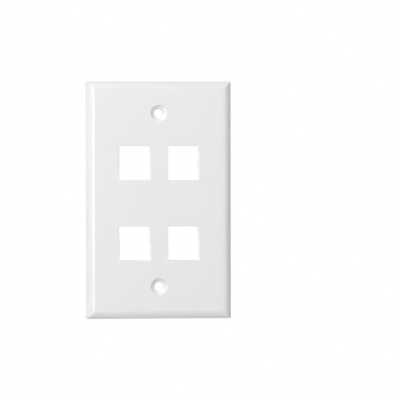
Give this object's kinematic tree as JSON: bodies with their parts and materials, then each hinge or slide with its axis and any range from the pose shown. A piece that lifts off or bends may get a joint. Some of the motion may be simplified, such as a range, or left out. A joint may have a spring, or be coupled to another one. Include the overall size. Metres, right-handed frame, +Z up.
{
  "type": "keystone faceplate",
  "caption": "Bevelled wall plate for one device box, with a grid of snap-in keystone ports and a dished screw hole above and below.",
  "frame": {"origin": "on the wall plane, midway between the two screw holes", "axes": "+X right and +Z up as seen from the front, which faces -Y; +Y points into the wall"},
  "size_m": [0.0698, 0.0099, 0.1142],
  "materials": {
    "white_plastic": "satin"
  },
  "bodies": {
    "root": {"faceplate": "white_plastic"}
  },
  "joints": []
}
